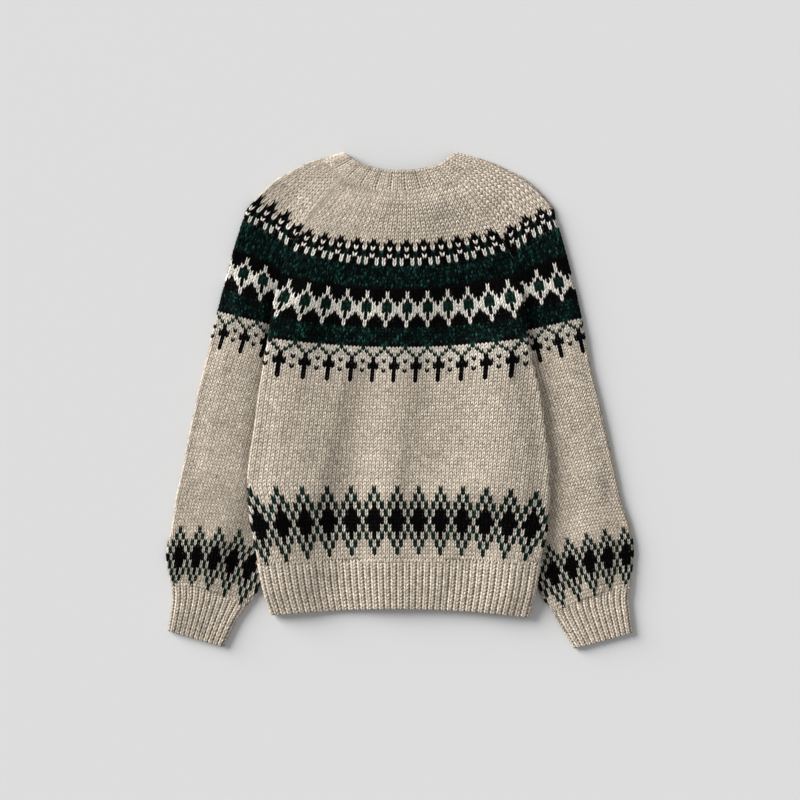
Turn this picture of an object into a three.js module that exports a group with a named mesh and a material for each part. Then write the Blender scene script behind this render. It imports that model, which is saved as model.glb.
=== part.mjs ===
// An Icelandic yoke cardigan laid flat on a surface, its back upwards.
//
// Millimetres, +X to the right of someone looking down at it, +Y from hem to neck, +Z up from the surface.
// The origin is on the surface, under the middle of the garment's outline.
//
// Every piece of cloth is a sheet worked out as a grid of points along its middle, then thickened by WALL.
// Rows of knitting are named by their level: the height at which a row crosses the centre back. The same
// level names the same row on the body and on the sleeves, which are tucked under the body's side edges.

import * as THREE from 'three';

// ---------------------------------------------------------------- driving sizes

const WALL = 3;               // thickness of the knitted cloth
const HALF = WALL / 2;
const AIR = 1;                // air between two layers that lie on each other
const CLEAR = 0.3;            // gap between pieces that touch
const SEAM = 0.25;            // each piece stops this far short of a seam line
const LAYER = WALL + AIR;     // from the middle of one layer to the middle of the next

const HEM_LEVEL = 9;          // lower edge of the hem rib at the centre back
const RIB_LEVEL = 76;         // upper edge of the hem rib
const NECK_LEVEL = 593.6;     // where the collar is sewn on, at the centre back
const ARMPIT_LEVEL = 390;     // above it the front ends at the sleeve, below it at the side seam
const FRONT_NECK = { centre: 537, raglan: 577, bend: 1.5 };   // levels of the front neckline

const BAND_WIDTH = 32;        // button bands
const BAND_EDGE = BAND_WIDTH / 2 + 0.4;   // where each front is sewn to its band
const BAND_TOP = 566;
const BUTTON = { count: 7, radius: 10, thick: 3, first: 24, last: 548, holes: 4, holeRadius: 1.1, holeRing: 2.8 };
const COLLAR = { reach: 29.3, height: 28.7, droop: 20.2, bend: 2.4, halfSpan: 107 };

const SLEEVE_FOLD = 3.6;      // radius of the soft outer fold of a sleeve
const TUCK_FOLD = LAYER / 2;  // radius of a sleeve's edge that is pressed under the body
const CUFF_FOLD = 3.2;        // radius of a cuff's edges
const SIDE_PUFF = 3.3;        // how much higher the back stands at its side edges
const SLEEVE_STACK = 2 * WALL + AIR + CLEAR;   // what the body climbs to lie on a sleeve

const OUTLINE_MIDDLE = { x: 0.25, y: 300.8 };   // middle of the outline, moved to the origin

// Rows of the body, from the hem up: where each row ends on either side.
const BODY = named(['level', 'leftX', 'leftY', 'rightX', 'rightY'], [
  [HEM_LEVEL, -179.5, 0, 180, -3],
  [40, -190, 34, 189, 32],
  [RIB_LEVEL, -197.5, 71, 196, 72],
  [104, -203.5, 101, 203, 101],
  [131, -208.5, 129, 206.5, 130],
  [178, -212.4, 178, 209.5, 178],
  [205, -212.5, 207, 209.5, 207],
  [260, -204, 264, 203, 264],
  [300, -199.5, 308, 196.5, 308],
  [346.5, -191, 358, 187, 358],
  [376, -187.8, 389, 181, 389],
  [405, -186, 421, 177.5, 421],
  [429, -178.5, 446, 174.5, 446],
  [460, -166.5, 482, 165.5, 482],
  [490, -153, 512, 150.5, 512],
  [521.5, -139, 537, 134.5, 537],
  [539, -126, 555, 123, 555],
  [557, -112, 572, 110.5, 572],
  [577, -92, 595.5, 93, 595.5],
  [NECK_LEVEL, -75, 614, 76, 614],
]);

// Rows of each sleeve, from the neck down: the outer fold, the inner edge, and how far the row arches up.
const SLEEVE_COLUMNS = ['level', 'outerX', 'outerY', 'innerX', 'innerY', 'arch'];
const LEFT_SLEEVE = named(SLEEVE_COLUMNS, [
  [NECK_LEVEL, -107, 639, -75, 614, 0],
  [577, -127, 632.5, -92, 595.5, 0],
  [557, -150, 621, -112, 572, 0],
  [539, -178, 604, -126, 555, 0],
  [521.5, -205, 577, -139, 537, 0],
  [490, -219, 550, -153, 512, 0],
  [460, -231, 512, -166.5, 482, 0],
  [429, -238.5, 481, -169, 457, 0],
  [405, -246, 456, -172, 431, 0],
  [376, -254, 424, -174, 404, 0],
  [346.5, -261, 396, -176, 378, 0],
  [300, -270, 350.5, -177, 334, 0],
  [252, -285, 302, -179, 288, 0],
  [200, -294.5, 250, -181, 238, 0],
  [155, -303, 206, -183.5, 194, 0],
  [110, -312.5, 162, -186, 150, 3],
  [72, -318, 123.5, -188, 112, 6],
  [25, -325.5, 81, -190, 60, 9.5],
  [3, -322.5, 58, -199, 34, 10],
  [-18.5, -318.5, 42, -216, 12, 10],
]);
const RIGHT_SLEEVE = named(SLEEVE_COLUMNS, [
  [NECK_LEVEL, 107, 639, 76, 614, 0],
  [577, 127, 632.5, 93, 595.5, 0],
  [557, 150, 622, 110.5, 572, 0],
  [539, 178, 607, 123, 555, 0],
  [521.5, 206, 579, 134.5, 537, 0],
  [490, 218, 551, 150.5, 512, 0],
  [460, 229, 515, 165.5, 482, 0],
  [429, 240.5, 470, 169, 457, 0],
  [405, 246.5, 447, 172, 432, 0],
  [376, 252.5, 420, 174, 402, 0],
  [346.5, 258, 393, 176, 375, 0],
  [300, 266.5, 348, 177, 328, 0],
  [252, 277.5, 302, 179, 282, 0],
  [200, 289, 252, 181, 230, 0],
  [155, 298.5, 209, 183.5, 185, 0],
  [110, 309, 160, 186, 134, 4],
  [72, 321, 124, 188, 90, 7],
  [25, 326, 86, 190.5, 50, 6],
  [3, 324, 64, 200, 26, 5],
  [-18.5, 322, 42, 214, 5, 5],
]);
const LEFT_CUFF = named(SLEEVE_COLUMNS, [
  [-18.5, -318.5, 42, -216, 12, 10],
  [-36, -317, 25, -222, 4, 8],
  [-58, -319, 4, -231, -10, 5],
  [-88, -323.4, -22.4, -247.5, -44.1, 0],
]);
const RIGHT_CUFF = named(SLEEVE_COLUMNS, [
  [-18.5, 322, 42, 214, 5, 5],
  [-36, 319.5, 25, 219, -5, 4],
  [-58, 321.5, 2, 229, -21, 3],
  [-88, 325, -24.5, 245, -46.5, 0],
]);

// ---------------------------------------------------------------- small helpers

function named(columns, rows) {
  return rows.map((row) => Object.fromEntries(columns.map((column, i) => [column, row[i]])));
}

function mix(a, b, t) {
  return a + (b - a) * t;
}

// 0 at a, 1 at b, level at both ends. a may be the larger.
function ease(a, b, x) {
  const t = Math.min(1, Math.max(0, (x - a) / (b - a)));
  return t * t * (3 - 2 * t);
}

function steps(count, from = 0, to = 1) {
  return Array.from({ length: count + 1 }, (_, i) => mix(from, to, i / count));
}

// One row of a table at any level between its first row and its last.
function rowAt(table, level) {
  const up = table[0].level < table[table.length - 1].level;
  let i = 0;
  while (i < table.length - 2 && (up ? level > table[i + 1].level : level < table[i + 1].level)) i += 1;
  const [a, b] = [table[i], table[i + 1]];
  const t = (level - a.level) / (b.level - a.level);
  return Object.fromEntries(Object.keys(a).map((column) => [column, mix(a[column], b[column], t)]));
}

// The levels of a table's rows between two levels, with both ends.
function levelsBetween(table, low, high) {
  const inside = table.map((row) => row.level).filter((level) => level > low + 1 && level < high - 1);
  return [low, ...inside.sort((a, b) => a - b), high];
}

// ---------------------------------------------------------------- sheets of cloth

// A closed solid around a grid of points: rows of THREE.Vector3, each row as long as the others.
function thickened(rows, wall = WALL) {
  const last = rows.length - 1;
  const end = rows[0].length - 1;
  const faces = [[], []];
  for (let i = 0; i <= last; i += 1) {
    for (let j = 0; j <= end; j += 1) {
      const along = rows[Math.min(i + 1, last)][j].clone().sub(rows[Math.max(i - 1, 0)][j]);
      const across = rows[i][Math.min(j + 1, end)].clone().sub(rows[i][Math.max(j - 1, 0)]);
      const out = across.cross(along).normalize().multiplyScalar(wall / 2);
      faces[0].push(rows[i][j].clone().add(out));
      faces[1].push(rows[i][j].clone().sub(out));
    }
  }
  const width = end + 1;
  const below = faces[0].length;
  const index = [];
  const quad = (a, b, c, d) => index.push(a, b, c, a, c, d);
  for (let i = 0; i < last; i += 1) {
    for (let j = 0; j < end; j += 1) {
      const k = i * width + j;
      quad(k, k + 1, k + width + 1, k + width);
      quad(below + k, below + k + width, below + k + width + 1, below + k + 1);
    }
  }
  for (let j = 0; j < end; j += 1) {
    const k = last * width + j;
    quad(j, below + j, below + j + 1, j + 1);
    quad(k, k + 1, below + k + 1, below + k);
  }
  for (let i = 0; i < last; i += 1) {
    const k = i * width;
    quad(k, k + width, below + k + width, below + k);
    quad(k + end, below + k + end, below + k + width + end, k + width + end);
  }
  const geometry = new THREE.BufferGeometry().setFromPoints([...faces[0], ...faces[1]]);
  geometry.setIndex(index);
  if (signedVolume(geometry) < 0) geometry.setIndex(index.reverse());
  geometry.computeVertexNormals();
  return geometry;
}

function signedVolume(geometry) {
  const at = geometry.getAttribute('position');
  const index = geometry.getIndex();
  const corners = [new THREE.Vector3(), new THREE.Vector3(), new THREE.Vector3()];
  let total = 0;
  for (let i = 0; i < index.count; i += 3) {
    corners.forEach((corner, k) => corner.fromBufferAttribute(at, index.getX(i + k)));
    total += corners[0].dot(corners[1].clone().cross(corners[2])) / 6;
  }
  return total;
}

// ---------------------------------------------------------------- how high each layer lies

// How far out the tucked edge of a sleeve is at a height y.
function tuckedEdge(side, y) {
  const table = side < 0 ? LEFT_SLEEVE : RIGHT_SLEEVE;
  const rows = table.filter((row) => row.level <= 460);
  let i = 0;
  while (i < rows.length - 2 && y < rows[i + 1].innerY) i += 1;
  const t = Math.min(1, Math.max(0, (y - rows[i].innerY) / (rows[i + 1].innerY - rows[i].innerY)));
  return Math.abs(mix(rows[i].innerX, rows[i + 1].innerX, t));
}

const CLIMB = { top: 482, full: 446, low: 42, gone: -15, run: 62, short: 4 };

// The body's climb from the surface onto the sleeve beside it.
function sleeveClimb(x, y) {
  const edge = tuckedEdge(Math.sign(x), y);
  const along = ease(CLIMB.top, CLIMB.full, y) * ease(CLIMB.gone, CLIMB.low, y);
  return SLEEVE_STACK * along * ease(edge - CLIMB.run, edge - CLIMB.short, Math.abs(x));
}

const BUTTON_LIFT = BUTTON.thick + CLEAR;
const OUTER_BAND = HALF + BUTTON_LIFT;                 // middle of the right band, over the buttons
const INNER_BAND = OUTER_BAND + WALL + CLEAR;          // middle of the left band, over the right one
const FRONT_RAMP = { left: 60, right: 45 };            // where each front leaves the surface for its band
const BACK_RIDGE = { flat: 18, run: 78, top: 575, gone: 600 };

function frontHeight(x, y) {
  const band = x < 0 ? INNER_BAND : OUTER_BAND;
  const ramp = x < 0 ? FRONT_RAMP.left : FRONT_RAMP.right;
  return HALF + (band - HALF) * ease(ramp, BAND_WIDTH / 2, Math.abs(x)) + sleeveClimb(x, y);
}

const EDGE_RUN = { from: 30, to: 3 };                  // the last stretch of a row, where the back is fuller
const RAGLAN_RISE = { from: 520, to: 483 };            // where the back begins to lie on the sleeve

function backHeight(x, y, edge) {
  const ridge = (INNER_BAND + CLEAR + WALL - HALF - LAYER) * ease(BACK_RIDGE.run, BACK_RIDGE.flat, Math.abs(x));
  const puff = ease(edge - EDGE_RUN.from, edge - EDGE_RUN.to, Math.abs(x));
  return HALF + LAYER + ridge * ease(BACK_RIDGE.gone, BACK_RIDGE.top, y) + sleeveClimb(x, y)
    + SIDE_PUFF * puff * ease(RAGLAN_RISE.from, RAGLAN_RISE.to, y);
}

// ---------------------------------------------------------------- the body

const SIDE_FOLD = (LAYER + SIDE_PUFF) / 2;             // radius of the body's side fold
const FOLD_ANGLES = [0, 0.2, 0.85, Math.PI / 2];

const COLUMNS = [0.2, 0.29, 0.39, 0.6, 0.7, 0.76, 0.82, 0.88, 0.94];   // closer where the cloth climbs

// Fractions of a row from its centre, or from a distance off it, to its edge, with the last few round the fold.
function across(halfWidth, from) {
  const bend = FOLD_ANGLES.map((angle) => 1 - (SIDE_FOLD * (1 - Math.cos(angle))) / halfWidth).reverse();
  const start = from > 0 ? [from / halfWidth] : [0, 0.09];
  return [...start, ...COLUMNS, ...bend];
}

// A point of the body's plan at a row and a signed fraction of its half width.
function bodyPlan(row, s) {
  const [x, y] = s < 0 ? [row.leftX + SEAM, row.leftY] : [row.rightX - SEAM, row.rightY];
  return new THREE.Vector2(Math.abs(s) * x, row.level + (y - row.level) * s * s);
}

// How far round the fold a column of a row lies: 0 on the flat, 1 at the seam.
function foldShare(halfWidth, s) {
  const back = Math.min(1, Math.max(0, 1 - ((1 - Math.abs(s)) * halfWidth) / SIDE_FOLD));
  return 1 - Math.sqrt(1 - back * back);
}

function backRow(level) {
  const row = rowAt(BODY, level);
  const left = across(-row.leftX, 0).slice(1).reverse();
  const fractions = [...left.map((s) => -s), ...across(row.rightX, 0)];
  const fold = ease(460, 429, level) * (SIDE_FOLD - SEAM);
  return fractions.map((s) => {
    const at = bodyPlan(row, s);
    const edge = Math.abs(s < 0 ? row.leftX : row.rightX);
    return new THREE.Vector3(at.x, at.y, backHeight(at.x, at.y, edge) - fold * foldShare(edge, s));
  });
}

function backPanel() {
  return thickened(levelsBetween(BODY, RIB_LEVEL + SEAM, NECK_LEVEL - SEAM).map(backRow));
}

function backRib() {
  return thickened(levelsBetween(BODY, HEM_LEVEL, RIB_LEVEL - SEAM).map(backRow));
}

// A row of a front ends at the side seam, or above the armpit at the sleeve's inner edge.
function frontEdge(side, level) {
  const row = rowAt(BODY, level);
  if (level < ARMPIT_LEVEL) return side < 0 ? [row.leftX, row.leftY] : [row.rightX, row.rightY];
  const sleeve = rowAt(side < 0 ? LEFT_SLEEVE : RIGHT_SLEEVE, level);
  return [sleeve.innerX, sleeve.innerY];
}

function neckLevel(s) {
  return mix(FRONT_NECK.centre, FRONT_NECK.raglan, Math.abs(s) ** FRONT_NECK.bend);
}

function frontPoint(side, level, s) {
  const [edgeX, edgeY] = frontEdge(side, level);
  const x = side * Math.max(BAND_EDGE, s * (Math.abs(edgeX) - SEAM));
  const y = level + (edgeY - level) * s * s;
  const fold = ease(405, 376, level) * (SIDE_FOLD - SEAM);
  return new THREE.Vector3(x, y, frontHeight(x, y) + fold * foldShare(Math.abs(edgeX), s));
}

function frontRow(side, levelOf) {
  const [edgeX] = frontEdge(side, levelOf(1));
  return across(Math.abs(edgeX), BAND_EDGE).map((s) => frontPoint(side, levelOf(s), s));
}

// Above this level the rows of the front and of the sleeve's front half draw together under the neckline.
const YOKE_LEVEL = 490;

function frontPanel(side) {
  const levels = levelsBetween(BODY, RIB_LEVEL + SEAM, FRONT_NECK.raglan);
  return thickened(levels.map((level) => frontRow(side, (s) => {
    const share = Math.max(0, (level - YOKE_LEVEL) / (FRONT_NECK.raglan - YOKE_LEVEL));
    return share > 0 ? mix(YOKE_LEVEL, neckLevel(s) - SEAM, share) : level;
  })));
}

function frontRib(side) {
  const levels = levelsBetween(BODY, HEM_LEVEL, RIB_LEVEL - SEAM);
  return thickened(levels.map((level) => frontRow(side, () => level)));
}

// ---------------------------------------------------------------- sleeves and cuffs

// The columns round a sleeve: each a share of the row from its inner edge, on the upper or lower layer,
// with the angle round a fold where there is one.
function roundTheSleeve(width, inner, outer) {
  const innerBend = FOLD_ANGLES.map((angle) => ({ s: (inner * (1 - Math.cos(angle))) / width, inner: angle }));
  const outerBend = steps(4, Math.PI / 2, 0).map((angle) => (
    { s: 1 - (outer * (1 - Math.cos(angle))) / width, outer: angle }));
  const flat = steps(5, innerBend[innerBend.length - 1].s, outerBend[0].s).slice(1, -1).map((s) => ({ s }));
  const upper = [...innerBend, ...flat, ...outerBend].map((column) => ({ ...column, upper: 1 }));
  const lower = [...outerBend.slice(0, -1).reverse(), ...flat.reverse(), ...innerBend.reverse()];
  return [...upper, ...lower.map((column) => ({ ...column, upper: -1 }))];
}

// The height of a sleeve's layer at one of its columns.
function sleeveHeight(column, inner, outer, middle, rolled) {
  if (column.outer !== undefined) return HALF + outer + column.upper * outer * Math.sin(column.outer);
  const top = middle + (HALF + 2 * inner - middle) * ease(0.3, 0, column.s)
    + (HALF + 2 * outer - middle) * ease(0.55, 0.95, column.s);
  const flat = column.upper > 0 ? top : HALF;
  if (column.inner === undefined) return flat;
  const bent = HALF + inner + column.upper * (SEAM + (inner - SEAM) * Math.sin(column.inner));
  return mix(flat, bent, rolled);
}

function sleeveRow(row, inner, outer, middle, rolled, levelOf) {
  const side = Math.sign(row.outerX);
  const span = Math.hypot(row.outerX - row.innerX, row.outerY - row.innerY);
  return roundTheSleeve(span, inner, outer).map((column) => {
    const at = levelOf ? levelOf(column) : row;
    const x = mix(at.innerX + side * SEAM, at.outerX, column.s);
    const y = mix(at.innerY, at.outerY, column.s) + 4 * at.arch * column.s * (1 - column.s);
    return new THREE.Vector3(x, y, sleeveHeight(column, inner, outer, middle, rolled));
  });
}

// The front of a sleeve stops at the front neckline, which is lower than the back's.
function sleeveLevel(level, column) {
  const start = column.upper > 0 ? NECK_LEVEL : mix(FRONT_NECK.raglan, NECK_LEVEL, column.s);
  const share = (level - YOKE_LEVEL) / (NECK_LEVEL - YOKE_LEVEL);
  return share < 0 ? level : mix(YOKE_LEVEL, start - SEAM, share);
}

function sleeve(table) {
  const end = table[table.length - 1].level + SEAM;
  return thickened(levelsBetween(table, end, NECK_LEVEL).map((level) => {
    const rolled = ease(405, 376, level);
    const inner = mix(TUCK_FOLD, CUFF_FOLD, ease(12, end, level));
    const middle = mix(HALF + LAYER, HALF + 5, ease(12, end, level));
    return sleeveRow(rowAt(table, level), inner, SLEEVE_FOLD, middle, rolled, (column) => (
      rowAt(table, sleeveLevel(level, column))));
  }));
}

function cuff(table) {
  const levels = [table[0].level - SEAM, ...table.slice(1).map((row) => row.level)];
  return thickened(levels.map((level) => (
    sleeveRow(rowAt(table, level), CUFF_FOLD, CUFF_FOLD, HALF + 5, 1))));
}

// ---------------------------------------------------------------- collar, bands and buttons

// The line on which the collar is sewn, from the left band round the neck to the right band. Each point says
// whether it is on the front.
function neckSeam() {
  const mark = (points, front) => points.map((point) => ({ point, front }));
  const fronts = [-1, 1].map((side) => mark(steps(5, 0.18).map((s) => frontPoint(side, neckLevel(s), s)), true));
  const sleeves = [LEFT_SLEEVE, RIGHT_SLEEVE].map((table) => {
    const points = sleeveRow(rowAt(table, NECK_LEVEL), TUCK_FOLD, SLEEVE_FOLD, HALF + LAYER, 0, (column) => (
      rowAt(table, sleeveLevel(NECK_LEVEL, column))));
    const middle = points.length / 2;
    return [...mark(points.slice(0, middle), false), ...mark(points.slice(middle), true)];
  });
  const back = mark(backRow(NECK_LEVEL).filter((point, i) => i % 2 === 0), false);
  return [...fronts[0], ...sleeves[0].reverse(), ...back, ...sleeves[1], ...fronts[1].reverse()];
}

// How far round the neck a seam point is: 0 at the centre back or at a band, 1 at the fold.
function neckShare({ point, front }) {
  const start = front ? BAND_EDGE : 0;
  return Math.min(1, (Math.abs(point.x) - start) / (COLLAR.halfSpan - start));
}

function collarPoint(seam, rise) {
  const share = neckShare(seam);
  const x = -Math.sign(seam.point.x) * COLLAR.reach * share;
  const y = COLLAR.height - COLLAR.droop * share ** COLLAR.bend;
  return new THREE.Vector3(seam.point.x + x * rise, seam.point.y + y * rise, seam.point.z);
}

function collar() {
  const start = 3 * SEAM / COLLAR.height;
  return thickened(neckSeam().map((seam) => steps(2, start, 1).map((rise) => collarPoint(seam, rise))));
}

function buttonBand(height) {
  const half = BAND_WIDTH / 2;
  const rows = steps(8, HEM_LEVEL, BAND_TOP);
  return thickened(rows.map((y) => steps(2, -half, half).map((x) => new THREE.Vector3(x, y, height))));
}

function button() {
  const disc = new THREE.Shape().absarc(0, 0, BUTTON.radius, 0, 2 * Math.PI);
  for (let i = 0; i < BUTTON.holes; i += 1) {
    const angle = ((i + 0.5) * 2 * Math.PI) / BUTTON.holes;
    const hole = new THREE.Path();
    hole.absarc(BUTTON.holeRing * Math.cos(angle), BUTTON.holeRing * Math.sin(angle), BUTTON.holeRadius, 0,
      2 * Math.PI, true);
    disc.holes.push(hole);
  }
  return new THREE.ExtrudeGeometry(disc, { depth: BUTTON.thick, bevelEnabled: false, curveSegments: 8 });
}

// ---------------------------------------------------------------- assembly

const natural = new THREE.MeshStandardMaterial({ color: 0xb9ae9c, roughness: 0.95, metalness: 0 });
const horn = new THREE.MeshStandardMaterial({ color: 0x3a2c22, roughness: 0.4, metalness: 0 });

const cardigan = new THREE.Group();

function add(name, geometry, material, place = [0, 0, 0]) {
  const mesh = new THREE.Mesh(geometry, material);
  mesh.name = name;
  mesh.position.set(...place);
  cardigan.add(mesh);
}

add('back', backPanel(), natural);
add('back_hem_rib', backRib(), natural);
add('left_front', frontPanel(-1), natural);
add('right_front', frontPanel(1), natural);
add('left_front_hem_rib', frontRib(-1), natural);
add('right_front_hem_rib', frontRib(1), natural);
add('left_sleeve', sleeve(LEFT_SLEEVE), natural);
add('right_sleeve', sleeve(RIGHT_SLEEVE), natural);
add('left_cuff', cuff(LEFT_CUFF), natural);
add('right_cuff', cuff(RIGHT_CUFF), natural);
add('collar', collar(), natural);
add('left_button_band', buttonBand(INNER_BAND), natural);
add('right_button_band', buttonBand(OUTER_BAND), natural);
steps(BUTTON.count - 1, BUTTON.first, BUTTON.last).forEach((y, i) => {
  add(`button_${i + 1}`, button(), horn, [0, y, 0]);
});

cardigan.position.set(-OUTLINE_MIDDLE.x, -OUTLINE_MIDDLE.y, 0);

export default cardigan;
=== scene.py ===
"""The looks of an Icelandic yoke cardigan laid flat, back upwards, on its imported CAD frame.

Millimetres while the cloth is worked out, metres in the meshes. A row of knitting is named by its level,
the height at which it crosses the centre back, and by its course, counted down from the tips of the yoke's
arches. Every panel is a thin shell, and every stitch on its right side is two slanted legs of yarn.
"""

import math

import bpy
import numpy as np
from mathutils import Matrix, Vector


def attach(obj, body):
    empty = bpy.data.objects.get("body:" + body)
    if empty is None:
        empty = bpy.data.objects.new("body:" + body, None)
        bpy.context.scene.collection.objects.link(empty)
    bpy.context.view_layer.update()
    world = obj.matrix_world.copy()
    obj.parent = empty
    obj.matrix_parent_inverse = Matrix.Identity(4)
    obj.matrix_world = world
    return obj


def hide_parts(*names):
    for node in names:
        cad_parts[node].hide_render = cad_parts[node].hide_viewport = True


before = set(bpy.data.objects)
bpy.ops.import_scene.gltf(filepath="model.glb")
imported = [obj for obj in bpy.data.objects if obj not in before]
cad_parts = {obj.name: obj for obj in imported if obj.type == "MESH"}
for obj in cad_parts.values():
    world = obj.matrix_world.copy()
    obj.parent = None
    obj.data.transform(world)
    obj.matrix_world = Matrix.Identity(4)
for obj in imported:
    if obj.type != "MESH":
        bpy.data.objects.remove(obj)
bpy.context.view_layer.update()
scene = bpy.context.scene

# ---------------- sizes

# Most are the CAD part's. The side edges, the folds and the puff differ from it by a few millimetres.
WALL = 3
HALF = WALL / 2
AIR = 1  # between a panel's layers
CLEAR = 0.3  # between pieces that lie on each other
SEAM = 0.25  # from a piece's edge to the seam
LAYER = WALL + AIR

HEM_LEVEL, RIB_LEVEL, ARMPIT_LEVEL, YOKE_LEVEL, NECK_LEVEL = 9, 76, 390, 490, 593.6
FRONT_NECK_CENTRE, FRONT_NECK_RAGLAN, FRONT_NECK_BEND = 537, 577, 1.5
BAND_WIDTH, BAND_TOP, BUTTON_THICK = 32, 566, 3
BAND_EDGE = BAND_WIDTH / 2 + 0.4
COLLAR_REACH, COLLAR_HEIGHT, COLLAR_DROOP, COLLAR_BEND, COLLAR_SPAN = 29.3, 28.7, 20.2, 1.8, 107
SLEEVE_FOLD, TUCK_FOLD, CUFF_FOLD, SIDE_PUFF = 2.3, LAYER / 2, 2.6, 4.8
SIDE_FOLD = (LAYER + SIDE_PUFF) / 2
SLEEVE_STACK = 2 * WALL + AIR + CLEAR
SLEEVE_END, CUFF_END = -18.5, -88
MIDDLE_X, MIDDLE_Y = 0.25, 300.8  # the frame's origin


def named(columns, rows):
    data = np.array(sorted(rows), float)
    return {column: data[:, i] for i, column in enumerate(columns)}


BODY = named(("level", "leftX", "leftY", "rightX", "rightY"), [
    (HEM_LEVEL, -179.5, 0, 180, -3),
    (40, -190, 34, 189, 32),
    (RIB_LEVEL, -197.5, 71, 196, 72),
    (104, -203.5, 101, 203, 101),
    (131, -208.5, 129, 206.5, 130),
    (178, -212.4, 178, 209.5, 178),
    (205, -212.5, 207, 209.5, 207),
    (260, -204, 264, 203, 264),
    (300, -198.7, 308, 197.5, 308),
    (346.5, -189, 358, 185, 358),
    (376, -184.4, 389, 178, 389),
    (405, -178.5, 421, 174, 421),
    (429, -174.3, 446, 170.5, 446),
    (460, -166, 482, 164.5, 482),
    (490, -153, 512, 150.5, 512),
    (521.5, -139, 537, 134.5, 537),
    (539, -126, 555, 123, 555),
    (557, -112, 572, 110.5, 572),
    (577, -92, 595.5, 93, 595.5),
    (NECK_LEVEL, -75, 614, 76, 614),
])
SLEEVE_COLUMNS = ("level", "outerX", "outerY", "innerX", "innerY", "arch")
SLEEVES = {-1: named(SLEEVE_COLUMNS, [
    (NECK_LEVEL, -107, 639, -75, 614, 0),
    (577, -127, 632.5, -92, 595.5, 3),
    (557, -150, 621, -112, 572, 5),
    (539, -178, 604, -126, 555, 6),
    (521.5, -205, 577, -139, 537, 6),
    (490, -219, 550, -153, 512, 5),
    (460, -231, 512, -166, 482, 3),
    (429, -238.5, 481, -169, 457, 0),
    (405, -246, 456, -172, 431, 0),
    (376, -254, 424, -174, 404, 0),
    (346.5, -261, 396, -176, 378, 0),
    (300, -271.7, 350.5, -177, 334, 0),
    (252, -283.6, 302, -179, 288, 0),
    (200, -294.5, 250, -181, 238, 0),
    (155, -303, 206, -183.5, 194, 0),
    (110, -312.5, 162, -186, 150, 3),
    (72, -318, 123.5, -188, 112, 6),
    (25, -325.5, 81, -190, 60, 9.5),
    (3, -322.5, 58, -199, 34, 10),
    (SLEEVE_END, -318.5, 42, -216, 12, 10),
]), 1: named(SLEEVE_COLUMNS, [
    (NECK_LEVEL, 107, 639, 76, 614, 0),
    (577, 127, 632.5, 93, 595.5, 3),
    (557, 150, 622, 110.5, 572, 5),
    (539, 178, 607, 123, 555, 6),
    (521.5, 206, 579, 134.5, 537, 6),
    (490, 218, 551, 150.5, 512, 5),
    (460, 229, 515, 164.5, 482, 3),
    (429, 240.5, 470, 166.5, 457, 0),
    (405, 246.5, 447, 169.5, 432, 0),
    (376, 252.5, 420, 174, 402, 0),
    (346.5, 258, 393, 176, 375, 0),
    (300, 266.5, 348, 177, 328, 0),
    (252, 277.5, 302, 179, 282, 0),
    (200, 289, 252, 181, 230, 0),
    (155, 298.5, 209, 183.5, 185, 0),
    (110, 309, 160, 186, 134, 4),
    (72, 321, 124, 188, 90, 7),
    (25, 326, 86, 190.5, 50, 6),
    (3, 324, 64, 200, 26, 5),
    (SLEEVE_END, 322, 42, 214, 5, 5),
])}
CUFFS = {-1: named(SLEEVE_COLUMNS, [
    (SLEEVE_END, -318.5, 42, -216, 12, 10),
    (-36, -317, 25, -222, 4, 8),
    (-58, -319, 4, -231, -10, 5),
    (CUFF_END, -323.4, -22.4, -247.5, -44.1, 0),
]), 1: named(SLEEVE_COLUMNS, [
    (SLEEVE_END, 322, 42, 214, 5, 5),
    (-36, 319.5, 25, 219, -5, 4),
    (-58, 321.5, 2, 229, -21, 3),
    (CUFF_END, 325, -24.5, 245, -46.5, 0),
])}

# ---------------- the knitting

REACH = 1.5  # courses that one stitch's legs span

# Where each course lies. The body and the sleeves have the same rows down the yoke.
BODY_COURSES = ((-14, NECK_LEVEL), (0, 525.5), (14, 453.3), (24, 403.8), (30, 376.2), (41, 327.5),
                (71, 182.6), (89, 87.4), (91, RIB_LEVEL), (93, 65.5))
SLEEVE_COURSES = {
    -1: ((-14, NECK_LEVEL), (0, 530), (14, 456.1), (24, 407.4), (30, 378.2), (41, 326), (93, 73),
         (111, SLEEVE_END), (113, SLEEVE_END - 10.2)),
    1: ((-17, NECK_LEVEL), (0, 518), (14, 449.5), (24, 403.3), (30, 372.7), (41, 322.7), (93, 73),
        (111, SLEEVE_END), (113, SLEEVE_END - 10.2)),
}

# How far the rows are pulled off their levels at a panel's left and right edges.
BODY_SAG = ((HEM_LEVEL, -8, -5), (RIB_LEVEL, -11, -7), (87.4, -13, -8), (182.6, -2, -10), (260, 0, -5),
            (320, 0, 0), (460, 0, 0), (524, 3, 2), (560, 4, 3), (NECK_LEVEL, 0, 0))
STRAIGHT = ((0, 0, 0), (1, 0, 0))

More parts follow.
